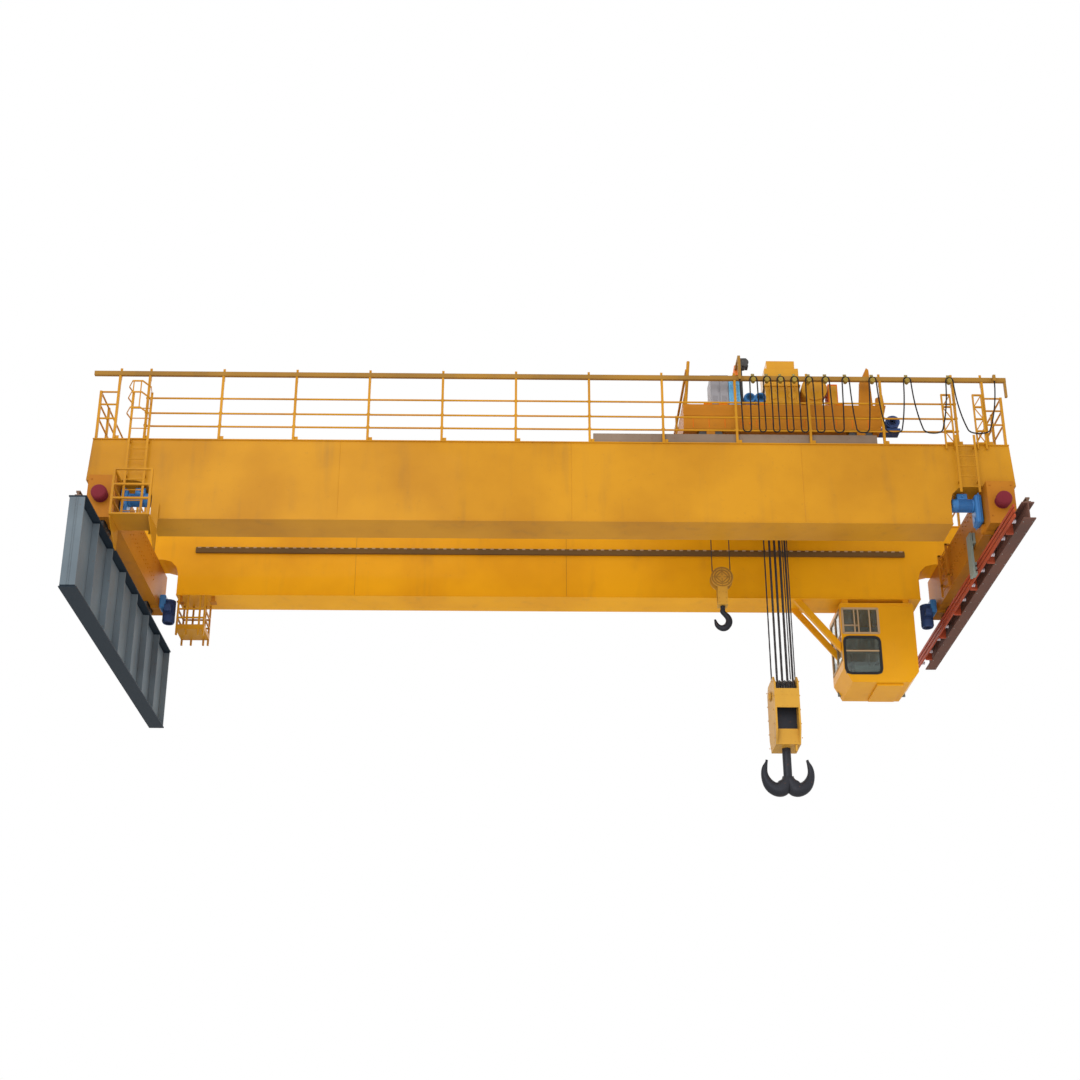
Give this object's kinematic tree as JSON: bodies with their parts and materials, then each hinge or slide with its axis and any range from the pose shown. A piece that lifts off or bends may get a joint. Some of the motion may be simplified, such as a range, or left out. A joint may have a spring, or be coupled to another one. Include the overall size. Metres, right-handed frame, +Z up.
{
  "type": "overhead bridge crane",
  "caption": "Double-girder overhead bridge crane on a short runway, with a travelling hoist trolley, ramshorn main hook, auxiliary hook, hung cab, cable festoon and walkways",
  "frame": {"origin": "Middle of the underside of the left runway girder's lower flange, in the plane midway between the two bridge girders.", "axes": "+X along the bridge to the right, +Y along the runway away from the viewer, +Z up."},
  "size_m": [23.67, 9.13, 11.5328],
  "materials": {
    "runway_grey": "satin, weathered",
    "conductor_red": "dull oxide paint",
    "rail_steel": "worn running surface",
    "crane_yellow": "semi-gloss, slightly faded",
    "carriage_orange": "semi-gloss, dusty",
    "wheel_steel": "dark, greasy",
    "buffer_red": "matte",
    "track_steel": "satin",
    "carrier_dark": "satin",
    "cable_black": "matte jacket",
    "kick_grey": "satin",
    "motor_blue": "semi-gloss",
    "collector_green": "satin",
    "cab_yellow": "semi-gloss",
    "cab_glass": "clear, faintly tinted",
    "cabinet_grey": "satin",
    "pale_blue": "satin",
    "gear_yellow": "semi-gloss",
    "box_orange": "semi-gloss",
    "navy": "semi-gloss",
    "drum_steel": "greasy",
    "horn_dark": "satin",
    "block_yellow": "chipped",
    "rope_steel": "greased wire rope",
    "hook_black": "forged, oiled"
  },
  "bodies": {
    "runway": {"left_runway_girder": "runway_grey", "right_runway_beam": "conductor_red", "runway_rails": "rail_steel", "conductor_bars": "conductor_red"},
    "bridge": {"front_girder": "crane_yellow", "rear_girder": "crane_yellow", "trolley_rails": "rail_steel", "left_end_carriage": "carriage_orange", "right_end_carriage": "carriage_orange", "buffers": "buffer_red", "front_railing": "crane_yellow", "rear_railing": "crane_yellow", "festoon_track": "track_steel", "end_railings": "crane_yellow", "left_ladder": "crane_yellow", "right_ladder": "crane_yellow", "left_platform": "crane_yellow", "inspection_platform": "crane_yellow", "kick_plate": "kick_grey", "cable_tray": "track_steel", "travel_drives": "motor_blue", "collector": "collector_green", "cab_shell": "cab_yellow", "cab_glazing": "cab_glass", "cab_hangers": "cab_yellow", "festoon_cable": "cable_black"},
    "trolley": {"trolley_frame": "carriage_orange", "trolley_wheels": "wheel_steel", "control_cabinet": "cabinet_grey", "resistor_unit": "pale_blue", "hoist_motors": "motor_blue", "hoist_gearbox": "gear_yellow", "drum_cover": "gear_yellow", "switch_box": "box_orange", "cross_travel_motor": "navy", "rope_drums": "drum_steel", "guard_rails": "crane_yellow", "warning_horn": "horn_dark", "tow_arm": "track_steel", "main_ropes": "rope_steel", "aux_ropes": "rope_steel"},
    "main_block": {"main_block_frame": "block_yellow", "main_sheaves": "wheel_steel"},
    "main_hook": {"main_hook": "hook_black"},
    "aux_block": {"aux_block": "block_yellow"},
    "aux_hook": {"aux_hook": "hook_black"},
    "left_front_wheel": {"left_front_wheel": "wheel_steel"},
    "left_rear_wheel": {"left_rear_wheel": "wheel_steel"},
    "right_front_wheel": {"right_front_wheel": "wheel_steel"},
    "right_rear_wheel": {"right_rear_wheel": "wheel_steel"},
    "festoon_carrier_01": {"festoon_carrier_01": "carrier_dark"},
    "festoon_carrier_02": {"festoon_carrier_02": "carrier_dark"},
    "festoon_carrier_03": {"festoon_carrier_03": "carrier_dark"},
    "festoon_carrier_04": {"festoon_carrier_04": "carrier_dark"},
    "festoon_carrier_05": {"festoon_carrier_05": "carrier_dark"},
    "festoon_carrier_06": {"festoon_carrier_06": "carrier_dark"},
    "festoon_carrier_07": {"festoon_carrier_07": "carrier_dark"},
    "festoon_carrier_08": {"festoon_carrier_08": "carrier_dark"},
    "festoon_carrier_09": {"festoon_carrier_09": "carrier_dark"},
    "festoon_carrier_10": {"festoon_carrier_10": "carrier_dark"}
  },
  "joints": [
    {"name": "bridge_travel", "type": "slide", "parent": "runway", "child": "bridge", "axis": [0, 1, 0], "range_m": [-1.4, 1.4]},
    {"name": "trolley_travel", "type": "slide", "parent": "bridge", "child": "trolley", "axis": [1, 0, 0], "range_m": [-13.2, 1.1], "deforming": ["festoon_cable"]},
    {"name": "main_hoist", "type": "slide", "parent": "trolley", "child": "main_block", "axis": [0, 0, 1], "range_m": [-5, 5.5], "deforming": ["main_ropes"]},
    {"name": "main_hook_swivel", "type": "hinge", "parent": "main_block", "child": "main_hook", "pos_m": [17.25, 0, -2.3], "axis": [0, 0, 1], "continuous": true},
    {"name": "aux_hoist", "type": "slide", "parent": "trolley", "child": "aux_block", "axis": [0, 0, 1], "range_m": [-8, 2.6], "deforming": ["aux_ropes"]},
    {"name": "aux_hook_swivel", "type": "hinge", "parent": "aux_block", "child": "aux_hook", "pos_m": [15.79, 0, 1.8], "axis": [0, 0, 1], "continuous": true},
    {"name": "left_front_wheel_turn", "type": "hinge", "parent": "bridge", "child": "left_front_wheel", "pos_m": [0, -2.3, 2.8703], "axis": [1, 0, 0], "continuous": true},
    {"name": "left_rear_wheel_turn", "type": "hinge", "parent": "bridge", "child": "left_rear_wheel", "pos_m": [0, 2.3, 2.8703], "axis": [1, 0, 0], "continuous": true},
    {"name": "right_front_wheel_turn", "type": "hinge", "parent": "bridge", "child": "right_front_wheel", "pos_m": [22.5, -2.3, 2.8703], "axis": [1, 0, 0], "continuous": true},
    {"name": "right_rear_wheel_turn", "type": "hinge", "parent": "bridge", "child": "right_rear_wheel", "pos_m": [22.5, 2.3, 2.8703], "axis": [1, 0, 0], "continuous": true},
    {"name": "festoon_carrier_01_roll", "type": "slide", "parent": "bridge", "child": "festoon_carrier_01", "axis": [1, 0, 0], "range_m": [-13.1011, 1.1009]},
    {"name": "festoon_carrier_02_roll", "type": "slide", "parent": "bridge", "child": "festoon_carrier_02", "axis": [1, 0, 0], "range_m": [-12.7897, 1.075]},
    {"name": "festoon_carrier_03_roll", "type": "slide", "parent": "bridge", "child": "festoon_carrier_03", "axis": [1, 0, 0], "range_m": [-12.3012, 1.0343]},
    {"name": "festoon_carrier_04_roll", "type": "slide", "parent": "bridge", "child": "festoon_carrier_04", "axis": [1, 0, 0], "range_m": [-11.6472, 0.9798]},
    {"name": "festoon_carrier_05_roll", "type": "slide", "parent": "bridge", "child": "festoon_carrier_05", "axis": [1, 0, 0], "range_m": [-10.8115, 0.9101]},
    {"name": "festoon_carrier_06_roll", "type": "slide", "parent": "bridge", "child": "festoon_carrier_06", "axis": [1, 0, 0], "range_m": [-9.7248, 0.8196]},
    {"name": "festoon_carrier_07_roll", "type": "slide", "parent": "bridge", "child": "festoon_carrier_07", "axis": [1, 0, 0], "range_m": [-8.2691, 0.6983]},
    {"name": "festoon_carrier_08_roll", "type": "slide", "parent": "bridge", "child": "festoon_carrier_08", "axis": [1, 0, 0], "range_m": [-6.1925, 0.5252]},
    {"name": "festoon_carrier_09_roll", "type": "slide", "parent": "bridge", "child": "festoon_carrier_09", "axis": [1, 0, 0], "range_m": [-3.6054, 0.3096]},
    {"name": "festoon_carrier_10_roll", "type": "slide", "parent": "bridge", "child": "festoon_carrier_10", "axis": [1, 0, 0], "range_m": [-1.1042, 0.1012]}
  ],
  "couplings": [
    {"joint": "left_front_wheel_turn", "follows": "bridge_travel", "rad_per_m": -2.8571},
    {"joint": "left_rear_wheel_turn", "follows": "bridge_travel", "rad_per_m": -2.8571},
    {"joint": "right_front_wheel_turn", "follows": "bridge_travel", "rad_per_m": -2.8571},
    {"joint": "right_rear_wheel_turn", "follows": "bridge_travel", "rad_per_m": -2.8571},
    {"joint": "festoon_carrier_01_roll", "follows": "trolley_travel", "ratio": 0.9917},
    {"joint": "festoon_carrier_02_roll", "follows": "trolley_travel", "ratio": 0.9682},
    {"joint": "festoon_carrier_03_roll", "follows": "trolley_travel", "ratio": 0.9311},
    {"joint": "festoon_carrier_04_roll", "follows": "trolley_travel", "ratio": 0.8816},
    {"joint": "festoon_carrier_05_roll", "follows": "trolley_travel", "ratio": 0.8183},
    {"joint": "festoon_carrier_06_roll", "follows": "trolley_travel", "ratio": 0.736},
    {"joint": "festoon_carrier_07_roll", "follows": "trolley_travel", "ratio": 0.6257},
    {"joint": "festoon_carrier_08_roll", "follows": "trolley_travel", "ratio": 0.4684},
    {"joint": "festoon_carrier_09_roll", "follows": "trolley_travel", "ratio": 0.2724},
    {"joint": "festoon_carrier_10_roll", "follows": "trolley_travel", "ratio": 0.0829}
  ]
}
